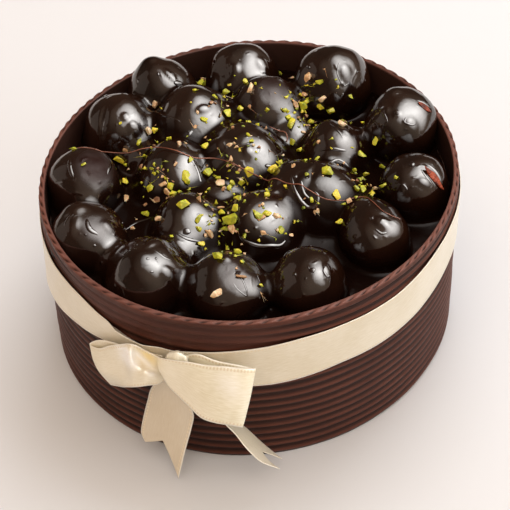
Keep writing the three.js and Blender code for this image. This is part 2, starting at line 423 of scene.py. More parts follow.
def rail(places, count):
    """A smooth run through given places, as count points."""
    places = np.array(places, float)
    steps = np.sqrt(np.linalg.norm(np.diff(places, axis=0), axis=1))
    knots = np.concatenate([[0], np.cumsum(steps)])
    wanted = np.linspace(0, knots[-1], count)
    slopes = np.gradient(places, knots, axis=0)
    index = np.clip(np.searchsorted(knots, wanted, side="right") - 1, 0, len(places) - 2)
    span = (knots[index + 1] - knots[index])[:, None]
    share = ((wanted - knots[index]) / span[:, 0])[:, None]
    start, end = places[index], places[index + 1]
    return (start * (2 * share**3 - 3 * share**2 + 1) + end * (3 * share**2 - 2 * share**3)
            + span * slopes[index] * (share**3 - 2 * share**2 + share)
            + span * slopes[index + 1] * (share**3 - share**2))


def toward(turn):
    """A step of 1 towards a bearing in degrees, seen from above."""
    return math.cos(math.radians(turn)), math.sin(math.radians(turn))


def along_line(places, start, end):
    """How far along a line each place is, from 0 to 1, and how far it lies from it."""
    run = np.array(end) - start
    share = np.clip((places - start) @ run / (run @ run), 0, 1)
    return share, np.linalg.norm(places - start - share[:, None] * run, axis=1)


def glaze_level(places):
    """The level of the glaze between the profiteroles, in millimetres: high in the middle of the cake."""
    x, y = places[:, 0], places[:, 1]
    from_centre = np.hypot(x, y) / oval(np.arctan2(y, x))
    filled = 1 - ease(42, 72, from_centre + 3 * wobble(41, x / 14, y / 14))
    meniscus = 1.3 * np.exp((from_centre - inner_radius) / 1.3)
    return pool_level + (valley_level - pool_level) * filled + meniscus + 0.25 * wobble(42, x / 9, y / 9)


def outside_lump(places, centre, half):
    """About how far places lie outside a rounded lump, by its middle and its half sizes."""
    return (np.linalg.norm((places - centre) / half, axis=1) - 1) * half.mean()


def outside_glaze(places):
    """How far places lie outside the glaze, in millimetres. Everything that meets flows together."""
    flow = 1.9 + 0.7 * (1 - ease(48, 70, np.hypot(places[:, 0], places[:, 1])))
    gaps = [places[:, 2] - glaze_level(places)]
    gaps += [outside_lump(places, *lump) for lump in coats + skirts]
    for start, end, thick in webs:
        share, away = along_line(places, start, end)
        gaps.append(away - thick * (1 - 0.25 * np.sin(math.pi * share)))
    gaps = np.array(gaps)
    nearest = gaps.min(axis=0)
    skin = nearest - flow * np.log(np.exp((nearest - gaps) / flow).sum(axis=0))
    for x, y, long, wide, turn, high in bumps:
        run = places[:, :2] - (x, y)
        lengthwise = run @ toward(turn) / long * 2
        sideways = run @ toward(turn + 90) / wide * 2
        skin = skin - high * np.exp(-(lengthwise**2 + sideways**2) ** 1.5)
    uneven = 0.7 * ripple(45, places, 22) + 0.42 * ripple(43, places, 12) + 0.1 * ripple(44, places, 6)
    return skin + uneven * (0.15 + 0.85 * ease(pool_level + 1, pool_level + 9, places[:, 2]))


def slope_of_glaze(places):
    """Which way is straight out of the glaze."""
    return np.column_stack([outside_glaze(places + step) - outside_glaze(places - step)
                            for step in np.eye(3) * 0.02]) / 0.04


def settle(places, rounds=4):
    """Moves places onto the skin of the glaze."""
    for _ in range(rounds):
        gap = outside_glaze(places)
        slope = slope_of_glaze(places)
        move = slope * (gap / (slope**2).sum(axis=1))[:, None]
        reach = np.linalg.norm(move, axis=1)
        places = places - move * np.minimum(1, 2.5 / np.maximum(reach, 1e-6))[:, None]
    return places


def mesh_of(passing):
    """The mesh that an object's curve or modifiers make. The object itself is removed."""
    bpy.context.scene.collection.objects.link(passing)
    drawn = passing.evaluated_get(bpy.context.evaluated_depsgraph_get())
    mesh = bpy.data.meshes.new_from_object(drawn)
    bpy.data.objects.remove(passing)
    return mesh


def remeshed(mesh, grain):
    """One closed skin round everything in a mesh, on an even grid."""
    source = bpy.data.objects.new("poured", mesh)
    remesh = source.modifiers.new("join", "REMESH")
    remesh.mode = "VOXEL"
    remesh.voxel_size = grain
    return mesh_of(source)


def glaze_finish():
    finish = Finish("chocolate_glaze", IOR=1.6, Specular_IOR_Level=1.0)
    tone = finish.ramp(finish.noise(70, 2), (0.3, (0.0085, 0.0028, 0.0013)), (0.7, (0.0165, 0.0055, 0.0025)))
    dull = finish.attribute("dull")
    finish.paint(Base_Color=finish.blend(dull * 0.8, tone, (0.030, 0.0105, 0.0070, 1)))
    finish.paint(Roughness=0.05 + finish.noise(180, 2) * 0.08 + dull * 0.4)
    # Broad unevenness, a few fine creases in the skin, and small blisters.
    folded = finish.noise(48, 1.5)
    crease = folded.math("ABSOLUTE", folded - 0.52) * -16 + 1
    crease = crease.math("MAXIMUM", crease, 0)
    blisters = finish.noise(300, 0) ** 14 * 14
    uneven = finish.noise(170, 2) * 0.7 + finish.noise(55, 1) * 2.2 + crease * 0.14 + blisters
    finish.bump(uneven, 0.3 * mm, 0.6)
    # In the gaps between the balls and over the pool the glaze is mixed into a darker shader that barely
    # reflects: painted shade in place of the reflections. The dull spots use the same shader.
    shade_and_dull_tone = finish.blend(dull, (0.0068, 0.0023, 0.0012, 1), (0.019, 0.0068, 0.0050, 1))
    shade_and_dull_shader = finish.node("ShaderNodeBsdfPrincipled", None, {
        "Base Color": shade_and_dull_tone, "Roughness": 0.25, "Specular IOR Level": 0.04})
    hollow = finish.attribute("hollow")
    matt = dull * (0.78 + finish.noise(150, 2) * 0.35)
    shown = finish.node("ShaderNodeMixShader", None, {
        0: hollow.math("MAXIMUM", hollow * 0.97, matt), 1: finish.shader.outputs[0], 2: shade_and_dull_shader.outputs[0]})
    finish.feed(finish.tree.nodes["Material Output"].inputs["Surface"], shown.outputs[0])
    return finish.material


# The coat on each ball, and the skirt of glaze round its foot, which is wider in the inner ring.
coats = [(np.array(centre) / mm, np.array(half) / mm * 1.045) for centre, half in balls]
skirts = []
for centre, half in coats:
    inner = 1 - ease(45, 62, np.hypot(centre[0], centre[1]))
    spread = half[0] * (1.1 + 0.2 * inner)
    skirts.append((centre - [0, 0, 5 + inner], np.array([spread, spread, half[2] * 0.95])))
# Mounds of glaze that piled up between the balls: their middles and half sizes in millimetres.
mounds = [(np.array(middle), np.array(half)) for middle, half in (
    ((-35, -44, 81.5), (9, 8, 8.5)), ((-29, -66, 80), (8, 9, 9)), ((-62, -48, 80), (9, 9, 9)),
    ((17, 4, 81), (9, 8, 8)), ((48, -8, 79), (9, 10, 8)), ((22, 38, 81), (9, 9, 8)),
    ((22.5, -12, 86.3), (14.5, 14, 15.2)), ((55.5, -36.5, 86.3), (12, 12, 12.4)),
    ((-52, 24, 79), (10, 9, 8)), ((-10, 34, 82), (9, 8, 8)), ((-16, -8, 80), (10, 9, 8)),
)]
skirts += mounds
# Webs of glaze bridge the balls that stand close together.
webs = []
draw = random.Random(5)
for index, (centre, half) in enumerate(coats):
    for other, other_half in coats[:index]:
        gap = np.linalg.norm(other - centre) - half[0] - other_half[0]
        if gap < 7:
            thick = min(half[0], other_half[0]) * draw.uniform(0.48, 0.7) * (1 - max(gap, 0) / 20)
            drop = np.array([0, 0, draw.uniform(1, 4)])
            webs.append((centre - drop, other - drop, thick))
# The pool, the higher glaze in the middle, the webs and the lumps are joined into one skin, which
# then settles to where they flow together.
bm = bmesh.new()
for low, high, wide, narrow in ((70, pool_level, inner_radius, inner_radius), (74, valley_level, 74, 52)):
    bmesh.ops.create_cone(bm, cap_ends=True, segments=180, radius1=wide * mm, radius2=narrow * mm,
                          depth=(high - low) * mm, matrix=Matrix.Translation((0, 0, (low + high) / 2 * mm)))
for vertex in bm.verts:
    stretch = float(oval(math.atan2(vertex.co.y, vertex.co.x)))
    vertex.co.x *= stretch
    vertex.co.y *= stretch
for start, end, thick in webs:
    along = Vector(end - start)
    aimed = along.to_track_quat("Z", "Y").to_matrix().to_4x4()
    place = Matrix.Translation(Vector(start + end) / 2 * mm) @ aimed
    bmesh.ops.create_cone(bm, cap_ends=True, segments=24, radius1=thick * mm, radius2=thick * mm,
                          depth=along.length * mm, matrix=place)
for centre, half in coats + skirts:
    place = Matrix.Translation(Vector(centre) * mm) @ Matrix.Diagonal((*Vector(half) * mm * 1.02, 1))
    bmesh.ops.create_icosphere(bm, subdivisions=4, radius=1, matrix=place)
raw = bpy.data.meshes.new("poured")
bm.to_mesh(raw)
bm.free()
raw = remeshed(raw, 1.5 * mm)
places = coordinates(raw) / mm
above = places[:, 2] > 74
places[above] = settle(places[above], 5)
set_coordinates(raw, places * mm)
raw = remeshed(raw, glaze_grain)
bm = bmesh.new()
bm.from_mesh(raw)
bmesh.ops.bisect_plane(bm, geom=bm.verts[:] + bm.edges[:] + bm.faces[:], plane_co=(0, 0, 73.6 * mm),
                       plane_no=(0, 0, -1), clear_outer=True)
bmesh.ops.holes_fill(bm, edges=[edge for edge in bm.edges if edge.is_boundary])
glaze = new_piece("glaze", bm, glaze_finish(), "glaze")
places = coordinates(glaze.data) / mm
to_wall = inner_radius * oval(np.arctan2(places[:, 1], places[:, 0])) - np.hypot(places[:, 0], places[:, 1])
free = (places[:, 2] > 74.3) & (to_wall > 0.3)
places[free] = settle(places[free])
set_coordinates(glaze.data, places * mm)
normals = np.empty(len(places) * 3)
glaze.data.vertices.foreach_get("normal", normals)
normals = normals.reshape(-1, 3)
normals[free] = slope_of_glaze(places[free])
glaze.data.normals_split_custom_set_from_vertices(normals / np.linalg.norm(normals, axis=1)[:, None])
dull = np.max([amount * np.exp(-(np.linalg.norm(places - spot, axis=1) / reach) ** 4)
               for *spot, reach, amount in dull_spots], axis=0)
# Painted shade: the glaze away from the balls is marked to be shown darker and barely reflecting.
off_balls = np.min([outside_lump(places, *lump) for lump in coats + mounds], axis=0)
mark(glaze, dull=dull, hollow=ease(0.7, 3.6, off_balls))
glaze_surface = BVHTree.FromPolygons([vertex.co for vertex in glaze.data.vertices],
                                     [polygon.vertices for polygon in glaze.data.polygons])


def on_glaze(x, y):
    """The point and slope of the glaze under a place in millimetres."""
    point, normal, _, _ = glaze_surface.ray_cast(Vector((x * mm, y * mm, 0.2)), Vector((0, 0, -1)))
    return point, normal


# ---- Glaze drips and folds ----
# Where the glaze thickened it stopped in beads, lips and folds on top of the coat, and a last thread
# of it ran off the front. They are the same glaze, half sunk in the coat.

# Place, length, width and bearing of each bead, in millimetres and degrees.
beads = [
    (-33.5, 58.5, 4.5, 3, 10), (-43.5, 61, 1.6, 1.6, 0), (76, -10.5, 3, 3, 0), (25.7, -75.3, 3.2, 2.2, 0),
    (-45, -73, 1.6, 1.4, 0), (-46.5, -68.3, 1.4, 1.4, 0), (-43, -67, 1.3, 1.3, 0), (9, 1, 3.4, 2.2, 0),
    (-30, -40, 4.4, 2.8, 15), (-35, 1, 2.6, 2, 0), (-28, 23.4, 4, 1.6, 60), (62, -60, 1.5, 1.4, 0),
    (-70, 52, 3, 2, 40), (26, -55, 2.2, 1.6, 0), (-72, -47, 1.6, 1.3, 0), (-76, -44, 1.3, 1.1, 0),
    (-52, -58, 1.5, 1.3, 0), (-55, -62, 1.3, 1.2, 0), (-60, -28, 1.5, 1.3, 0), (68, -24, 1.6, 1.4, 0),
    (72, 23.8, 3.4, 1.8, -50),
]
# Thickness of each fold in millimetres, then the places that it runs through.
folds = [
    (0.3, [(48, 64), (45.5, 57), (48.5, 53.5), (53, 56)]), (0.6, [(55.3, -48), (58.5, -50.4), (61.6, -50)]),
    (0.32, [(-10, -77.5), (-8, -74.5), (-5, -77.5), (-3.4, -82.7), (-7.6, -81.3), (-10, -77.5)]),
    (0.7, [(-59, -74), (-58, -77), (-55.7, -77.6)]), (1.1, [(-75.4, -35.6), (-74, -41.5), (-69.2, -43.5)]),
    (0.8, [(-38, -38.3), (-30.4, -42.7), (-22.3, -42.1)]),
    (0.9, [(-7.4, -41.2), (-3.5, -45.5), (4.2, -47.7), (12.6, -46.1), (16.9, -41.6)]),
    (0.9, [(18.5, -9.4), (21, -24), (26.4, -29.2), (30, -28.8), (31, -26), (27.7, -22.6)]),
    (0.7, [(23.3, -18.3), (24.8, -24.7), (27.9, -27.1)]), (0.5, [(-48, 49.6), (-40, 35), (-30, 26)]),
    (0.9, [(82.5, -9.5), (87, -12), (90, -15.6), (91, -20)]),
    (0.6, [(79.5, -13), (82.5, -17), (87.5, -20.5)]), (0.6, [(82, 32), (86, 32.2), (90, 31)]),
    (0.6, [(12, 6), (16, 12), (15, 18)]), (0.6, [(52, 33), (56, 26), (55, 18)]),
    (0.5, [(-62, -24), (-55, -18), (-46, -17)]), (0.6, [(36, 2), (42, 6), (49, 4)]),
    (0.5, [(-20, 55), (-14, 60), (-8, 58)]), (0.8, [(-84.8, 4.5), (-84.5, -3.1), (-82.4, -8.5)]),
    (0.8, [(-67.2, 13), (-65.8, 5), (-67.5, -4)]), (0.7, [(-28, 5.2), (-24.6, 0.3), (-23, -5.5)]),
    (0.5, [(-69, 37), (-71, 33), (-71, 29.5)]), (0.6, [(-45.7, -60.7), (-39.2, -65.1), (-35, -64.5)]),
    (0.7, [(-31, -57), (-26.7, -53), (-22.5, -48.4)]),
    (0.6, [(-86, -39.5), (-84.4, -36.2), (-80.5, -33.8)]),
    (0.5, [(77.2, 22.9), (75.5, 20), (78.9, 19.1), (82, 20.8)]),
    (0.6, [(39, 24.5), (40.5, 21), (44.2, 16), (45.8, 12.8)]),
    (0.7, [(33, 11.5), (36.7, 10.5), (43.8, 9.2), (48, 9.5)]),
    (0.7, [(60.5, 28), (62.4, 23.9), (63.5, 21)]), (0.6, [(64.5, 28.5), (66.5, 24), (67.5, 20.5)]),
    (0.5, [(23.4, -72.3), (24.9, -75.3), (27.5, -76.7)]),
    (0.5, [(32.8, -71.7), (30.9, -75.6), (32.5, -77.4), (34.2, -75.3)]),
    (0.4, [(68.4, -18.6), (71.1, -19.4), (72.8, -21.3), (70.6, -21.2)]),
]


def add_bead(bm, x, y, long, wide, turn, thick, pointed=0):
    """A flat, uneven drop on the glaze, laid along a bearing, its size and thickness in millimetres."""
    point, normal = on_glaze(x, y)
    along = Vector((*toward(turn), 0))
    along = (along - normal * along.dot(normal)).normalized()
    lean = Matrix((along, normal.cross(along), normal)).transposed().to_4x4()
    made = bmesh.ops.create_icosphere(bm, subdivisions=4, radius=1)["verts"]
    for vertex in made:
        vertex.co.y *= 1 - pointed * vertex.co.x**2
        vertex.co *= 1 + 0.10 * math.sin(3 * vertex.co.x + x) + 0.08 * math.sin(4 * vertex.co.y + y)
    size = Matrix.Diagonal((long / 2 * mm, wide / 2 * mm, thick * mm, 1))
    place = Matrix.Translation(point + normal * thick * 0.1 * mm) @ lean @ size
    bmesh.ops.transform(bm, verts=made, matrix=place)


bm = bmesh.new()
for x, y, long, wide, turn in beads:
    add_bead(bm, x, y, long, wide, turn, wide * 0.22)


def add_runs(bm, runs):
    """Adds round, tapered runs to a bmesh. Each is its places and its thickness, in metres."""
    curve = bpy.data.curves.new("runs", "CURVE")
    curve.dimensions = "3D"
    curve.bevel_depth = mm
    curve.bevel_resolution = 3
    curve.use_fill_caps = True
    for places, thick in runs:
        spline = curve.splines.new("POLY")
        spline.points.add(len(places) - 1)
        for index, (point, place) in enumerate(zip(spline.points, places)):
            share = index / (len(places) - 1)
            point.co = (*place, 1)
            point.radius = thick / mm / 2 * (0.55 + 0.45 * math.sin(math.pi * share) ** 0.6)
    bm.from_mesh(mesh_of(bpy.data.objects.new("runs", curve)))


laid = []
for thick, run in folds:
    snapped = [on_glaze(*place) for place in rail([(x, y, 0) for x, y in run], 10 * len(run))[:, :2]]
    laid.append(([point - normal * thick * 1.35 * mm for point, normal in snapped], thick * 3.7 * mm))
last_drop = rail([(1.4, -72.6, 94), (3.4, -75.9, 89), (4.6, -77.2, 83), (4.9, -77.5, 78)], 24) * mm
add_runs(bm, laid + [(last_drop, 0.9 * mm)])
new_piece("glaze_folds", bm, glaze.data.materials[0], "glaze")

# Two splits in the coat bare the brown crust, on the balls at the right.
bm = bmesh.new()
add_bead(bm, 86.2, -16, 13.5, 4.6, -34, 0.7, 0.8)
add_bead(bm, 86.2, 29.5, 8.5, 3.2, -20, 0.5, 0.8)
new_piece("bare_crust", bm, crust, "choux")


# ---- Chocolate thread ----
# Fine threads of set chocolate, pulled off a spoon, lie across the glaze from ball to ball.

def thread_finish():
    finish = Finish("set_chocolate_thread", Roughness=0.4)
    tone = finish.ramp(finish.noise(90, 2), (0.35, (0.13, 0.036, 0.018)), (0.65, (0.29, 0.105, 0.058)))
    finish.paint(Base_Color=tone)
    finish.bump(finish.noise(600, 2), 0.1 * mm)
    return finish.material


threads = [
    [(-83, 11, 99.5), (-70, 10.5, 98), (-58, 10, 97), (-50, 11, 98.5), (-43, 10.8, 99), (-34.4, 6, 100.7),
     (-26, 4.5, 97), (-16, 5, 95.5), (-8.6, 1, 96), (-3.5, -1.5, 94.5), (9, -10.5, 93.6), (17, -18.8, 98),
     (23.6, -21.7, 97.2), (34.8, -27.6, 94.5), (43.2, -27.4, 91), (52, -26, 90), (56, -33, 94),
     (60.9, -40.6, 98.9), (67.8, -41.9, 94.6)],
    [(11, 34.7, 88.5), (18.7, 32.2, 85), (19, 25.4, 86)],
]
bm = bmesh.new()
runs = []
for run in threads:
    places = [Vector(place) * mm for place in rail(run, 9 * len(run))]
    for place in places:
        under = on_glaze(place.x / mm, place.y / mm)[0]
        place.z = max(place.z, under.z + 0.3 * mm)
    runs.append((places, 0.56 * mm))
add_runs(bm, runs)
new_piece("chocolate_threads", bm, thread_finish(), "chocolate_thread")


# ---- Chopped pistachios ----
# Green nuts chopped by hand and thrown over the wet glaze, thickest in the middle. Some bits keep
# their pale pinkish skin.

def add_chip(bm, draw, x, y, size, tone, tone_layer):
    """One angular bit of nut, sunk a little into the glaze."""
    point, normal = on_glaze(x, y)
    if point is None:
        return
    shape = Vector((draw.uniform(0.5, 0.64), draw.uniform(0.36, 0.5), draw.uniform(0.26, 0.4))) * size * mm
    corners = []
    for _ in range(draw.randint(8, 12)):
        spot = Vector([draw.gauss(0, 1) for _ in range(3)]).normalized()
        corners.append(bm.verts.new(Vector(a * b for a, b in zip(spot, shape))))
    made = bmesh.ops.convex_hull(bm, input=corners)
    loose = [item for item in made["geom_interior"] if isinstance(item, bmesh.types.BMVert)]
    bmesh.ops.delete(bm, geom=loose, context="VERTS")
    corners = [corner for corner in corners if corner.is_valid]
    lean = normal.lerp(Vector((0, 0, 1)), 0.3).to_track_quat("Z", "Y").to_matrix().to_4x4()
    spin = Matrix.Rotation(draw.uniform(0, 6.28), 4, "Z") @ Matrix.Rotation(draw.uniform(-0.5, 0.5), 4, "X")
    place = Matrix.Translation(point + normal * shape.z * 0.6) @ lean @ spin
    bmesh.ops.transform(bm, matrix=place, verts=corners)
    for corner in corners:
        corner[tone_layer] = tone + draw.uniform(-0.12, 0.12)


def nut_finish(name, dark, middle, pale):
    finish = Finish(name, Roughness=0.5, Subsurface_Weight=0.15, Subsurface_Scale=1.2 * mm)
    tone = finish.attribute("tone") * 0.8 + finish.noise(380, 4) * 1.3 - 0.55
    finish.paint(Base_Color=finish.ramp(tone, (0.05, dark), (0.5, middle), (0.95, pale)))
    finish.bump(finish.noise(1200, 4), 0.25 * mm)
    return finish.material


# Each bit one by one: place and size in millimetres, then how pale it is.
green_places = [
    (-22, 81, 6.5, 0.6), (26.5, 48, 6.5, 0.55), (22, 36, 6.5, 0.6), (54, 12, 6, 0.45),
    (36, -16, 6.2, 0.4), (40, -26, 6.5, 0.95), (12, -6, 6.2, 0.85), (-1, -2, 6.2, 0.9),
    (-9, -36, 7.5, 0.2), (2.7, -37, 6, 0.5), (-30.5, -4, 5.8, 0.5), (-31, -29, 6.5, 0.5),
    (-63, 24, 6, 0.9), (-10, 36, 5.6, 0.6), (-20, 1, 5.8, 0.5), (-16, 41, 4, 0.4), (-10, 65, 4.2, 0.5),
    (0, 58, 4.2, 0.6), (10.5, 41, 4, 0.6), (18, 42, 3.8, 0.5), (28.6, 52, 5, 0.7), (20, 40, 3.6, 0.4),
    (37, 56, 4.4, 0.6), (37, 50, 4, 0.7), (42, 49, 4.6, 0.5), (48, 49, 5, 0.6), (52, 52, 3.6, 0.5),
    (21.5, 28, 4.6, 0.6), (25, 20, 4, 0.8), (62, 20, 4.6, 0.7), (56, 7, 3.8, 0.5), (50, 4, 3.6, 0.4),
    (7, -26, 4.2, 0.7), (41, -35.5, 4.4, 0.8), (49, -20, 4, 0.4), (52, -17, 4.4, 0.5),
    (57, -13, 4.4, 0.6), (63, -14, 4, 0.5), (69, -15, 3.4, 0.5), (65, 16, 3.6, 0.5), (-4, -5, 4, 0.5),
    (-8, -5, 3.8, 0.4), (-10, -8, 4, 0.6), (-6, -26, 4.4, 0.5), (-7, -32, 4.6, 0.6),
    (-13.5, -29, 4.2, 0.5), (-12, -38, 4.6, 0.3), (-24.5, -35, 4.4, 0.5), (-25, -38.5, 4.6, 0.6),
    (-24, -43, 4.4, 0.9), (-7, -61, 4, 0.6), (7, -36.5, 4.4, 0.7), (13, -41, 4, 0.4), (-30, -6, 4.2, 0.6),
    (-37, -8, 4.6, 0.5), (-47.5, -5, 4.6, 0.6), (-50, -14, 4.2, 0.5), (-61, 10, 4.6, 0.9),
    (-53, 27, 4.4, 0.5), (-45, 33, 4, 0.9), (-21, 29, 4.4, 0.5), (-20, 13, 4.6, 0.7), (-83, 11, 4.2, 0.3),
    (-25, 43, 2.8, 0.5), (18, 90, 2.8, 0.4), (57, 34, 2.6, 0.7), (28, -27, 3, 0.7), (2.5, -77, 3, 0.5),
    (0, 13, 2.6, 0.6), (2, 10, 2.4, 0.6), (-18, 18, 2.8, 0.6), (-15, -2, 3, 0.5), (-78, -2, 2.6, 0.5),
    (-15.5, -67, 5.6, 0.35), (34, 46, 4.4, 0.7), (31, 43, 4, 0.6), (-28, 3, 3.6, 0.7), (-36, -14, 4, 0.5),
    (-17, -20, 3.6, 0.6), (15, 3, 3.4, 0.6), (33, 8, 3.2, 0.6), (-38, 20, 3.4, 0.7), (5, 27, 3.2, 0.7),
    (-3, 44, 3.4, 0.6),
]
skin_places = [
    (2, 51, 6, 0.7), (32, 59, 5.6, 0.5), (8, 35, 5.2, 0.4), (-20, -39, 6, 0.6), (-17, -82.5, 5.8, 0.8),
    (-9, -40, 5, 0.5), (-22, 88, 4.2, 0.6), (24, 47, 4.4, 0.6), (38, 51, 4.4, 0.7), (49, 49, 4, 0.5),
    (45.6, 22, 5, 0.9), (32, -31, 4.8, 0.8), (45.5, -28, 4, 0.6), (60, -8.5, 4.6, 0.6), (11, -1, 4, 0.6),
    (-14, -6, 4.6, 0.7), (-6, -77, 5.6, 0.3), (5, -44, 3.8, 0.6), (11, -37, 4.4, 0.7),
    (4.5, -38.5, 4.2, 0.5), (-41, -6, 4.4, 0.6), (-39, -9.5, 4.4, 0.5), (-24, -25, 4.6, 0.6),
    (-44, -10, 4, 0.1), (-42, -30, 4.6, 0.7), (-60, -2, 4.4, 0.6), (-51, 8, 4.2, 0.1), (-59, 26, 4, 0.6),
    (-49, 33, 4.2, 0.9), (-45.5, 52, 4.2, 0.6), (-9, 9, 4.2, 0.7), (-8, 3, 4, 0.6), (24, 88, 2.8, 0.6),
    (-56, -22, 3, 0.6), (-34.5, 0, 2.8, 0.6), (29, 55, 4.2, 0.4), (-14, -24, 3.6, 0.6),
    (20, -10, 3.4, 0.6), (-33, 12, 3.6, 0.7),
]
# Crumbs fall round these places: how far they spread and how many there are.
crumb_showers = [
    (28, 50, 9, 18), (45, 50, 8, 8), (24, 36, 9, 9), (0, 8, 16, 14), (-12, -5, 12, 14),
    (-12, -36, 12, 20), (6, -35, 10, 14), (-38, -6, 12, 12), (-50, 26, 12, 10), (57, -12, 8, 16),
    (50, 10, 12, 6), (30, -24, 12, 10), (-18, 32, 12, 14), (0, 52, 14, 9), (-8, -66, 10, 9),
    (0, 0, 42, 34), (-44, -8, 9, 12), (27, 47, 6, 16), (-14, -36, 6, 12), (-6, -4, 7, 12),
]


def sprinkle(name, by_hand, share, seed, finish, slot):
    draw = random.Random(seed)
    bm = bmesh.new()
    tone_layer = bm.verts.layers.float.new("tone")
    for x, y, size, tone in by_hand:
        add_chip(bm, draw, x, y, size, tone, tone_layer)
    for x, y, spread, count in crumb_showers:
        for _ in range(round(count * share)):
            size = draw.uniform(1.1, 2.6)
            place = (draw.gauss(x, spread / 1.6), draw.gauss(y, spread / 1.6))
            if math.hypot(*place) < 88 and on_glaze(*place)[1].z > 0.5:
                add_chip(bm, draw, *place, size, draw.random(), tone_layer)
    bmesh.ops.bevel(bm, geom=bm.edges[:], offset=0.16 * mm, segments=1, profile=0.5, affect="EDGES",
                    material=-1)
    piece = new_piece(name, bm, finish, slot)
    for polygon in piece.data.polygons:
        polygon.use_smooth = False


green_nut = nut_finish("pistachio_green", (0.13, 0.17, 0.008), (0.50, 0.50, 0.014), (0.82, 0.66, 0.04))
skin_nut = nut_finish("pistachio_skin", (0.20, 0.075, 0.030), (0.62, 0.37, 0.17), (0.88, 0.72, 0.48))
sprinkle("pistachio_bits", green_places, 0.75, 11, green_nut, "pistachio")
sprinkle("pistachio_skins", skin_places, 0.4, 23, skin_nut, "nut_skin")


# ---- Ribbon ----
# A 25 mm cream satin ribbon with a looped selvedge, drawn round the collar. It lies level at the
# back, climbs a little on the right, and sinks and gathers towards the knot at the front.

ribbon_thickness = 0.35 * mm
knot_bearing = math.radians(-112)


def satin_finish():
    """Satin with a fine weave. Along both edges runs a row of small loops inside a bright cord."""
    finish = Finish("cream_satin", Sheen_Weight=0.25, Sheen_Roughness=0.4, Specular_IOR_Level=1.0)
    uv = finish.node("ShaderNodeUVMap").outputs[0]
    across = finish.node("ShaderNodeSeparateXYZ", None, {0: uv})
    side = finish.number(across.outputs["Y"])
    length = finish.number(across.outputs["X"])

    def wave(value, pitch):
        turns = value * (2 * math.pi / pitch)
        return turns.math("SINE", turns) * 0.5 + 0.5

    from_middle = (side - 0.5).math("ABSOLUTE", side - 0.5) * 2
    loops = (from_middle.math("GREATER_THAN", from_middle, 0.86)
             * from_middle.math("LESS_THAN", from_middle, 0.945))
    cord = from_middle.math("GREATER_THAN", from_middle, 0.955)
    dots = wave(length, 1.55 * mm)
    weave = wave(length, 0.42 * mm) * wave(side, 0.017)
    streaks = finish.noise(1, 2, (240, 46, 1), uv)
    cloud = finish.noise(40, 3) * 0.55 + streaks * 0.45
    # Painted light and shade: a shaded and a lit tone of the same satin, mixed by the painted light that each
    # piece keeps as its loop amount.
    plain = finish.ramp(cloud, (0.3, (0.58, 0.475, 0.33)), (0.7, (0.67, 0.58, 0.445)))
    bright = finish.ramp(cloud, (0.36, (0.79, 0.74, 0.55)), (0.64, (1.0, 0.97, 0.83)))
    plain = finish.blend(finish.attribute("loop"), plain, bright)
    # Painted shade: a warm golden colour inside the left loop's fold.
    plain = finish.blend(finish.attribute("gold"), plain, (0.95, 0.74, 0.27, 1))
    # Painted highlight: near white along the fold's ridge and over the right of the broad loop.
    shine = finish.attribute("shine") * (0.55 + streaks * 0.9)
    plain = finish.blend(shine, plain, (1.0, 0.985, 0.94, 1))
    looped = finish.blend(dots, (0.76, 0.64, 0.45, 1), plain)
    tone = finish.blend(loops, plain, looped)
    tone = finish.blend(cord * 0.6, tone, (0.97, 0.93, 0.84, 1))
    finish.paint(Base_Color=finish.blend(weave * 0.14, tone, (0.70, 0.58, 0.40, 1)))
    finish.paint(Roughness=0.26 + streaks * 0.07)
    finish.bump(weave * 0.4 + dots * loops * 1.2 + cord * 1.2, 0.08 * mm, 0.7)
    return finish.material


satin = satin_finish()


def by_the_wall(along, out, up):
    """A place near the knot: metres to its right along the wall, out from the wall, and up."""
    bearing = knot_bearing + along / collar_radius
    radius = collar_radius * oval(bearing) + out
    return np.stack([radius * np.cos(bearing), radius * np.sin(bearing), up + 0 * bearing], axis=-1)


# Where light and shade are painted into the satin, in millimetres right of the knot and up, both measured as
# seen by someone who looks down at the bow: a painted golden shade inside the left loop's fold, and painted
# highlights on the ridge that crosses it and over the right of the broad loop.
fold_shade_middle = (-10.9, 65)
ridge = [(-25.2, 63.8), (-21, 64.8), (-16.4, 64.2), (-13, 60.8), (-9.5, 55.8)]
left_highlight_middle = (-19, 60.5)
broad_highlight_middle = (21.5, 56)
# How much painted light each length of ribbon gets: a shaded and a lit tone of the satin, mixed. The right
# loop's painted light grows to its right.
painted_light_shares = {"ribbon": 0.45, "left_tail": 0.08, "right_tail": 0.5, "left_loop": 0.55}


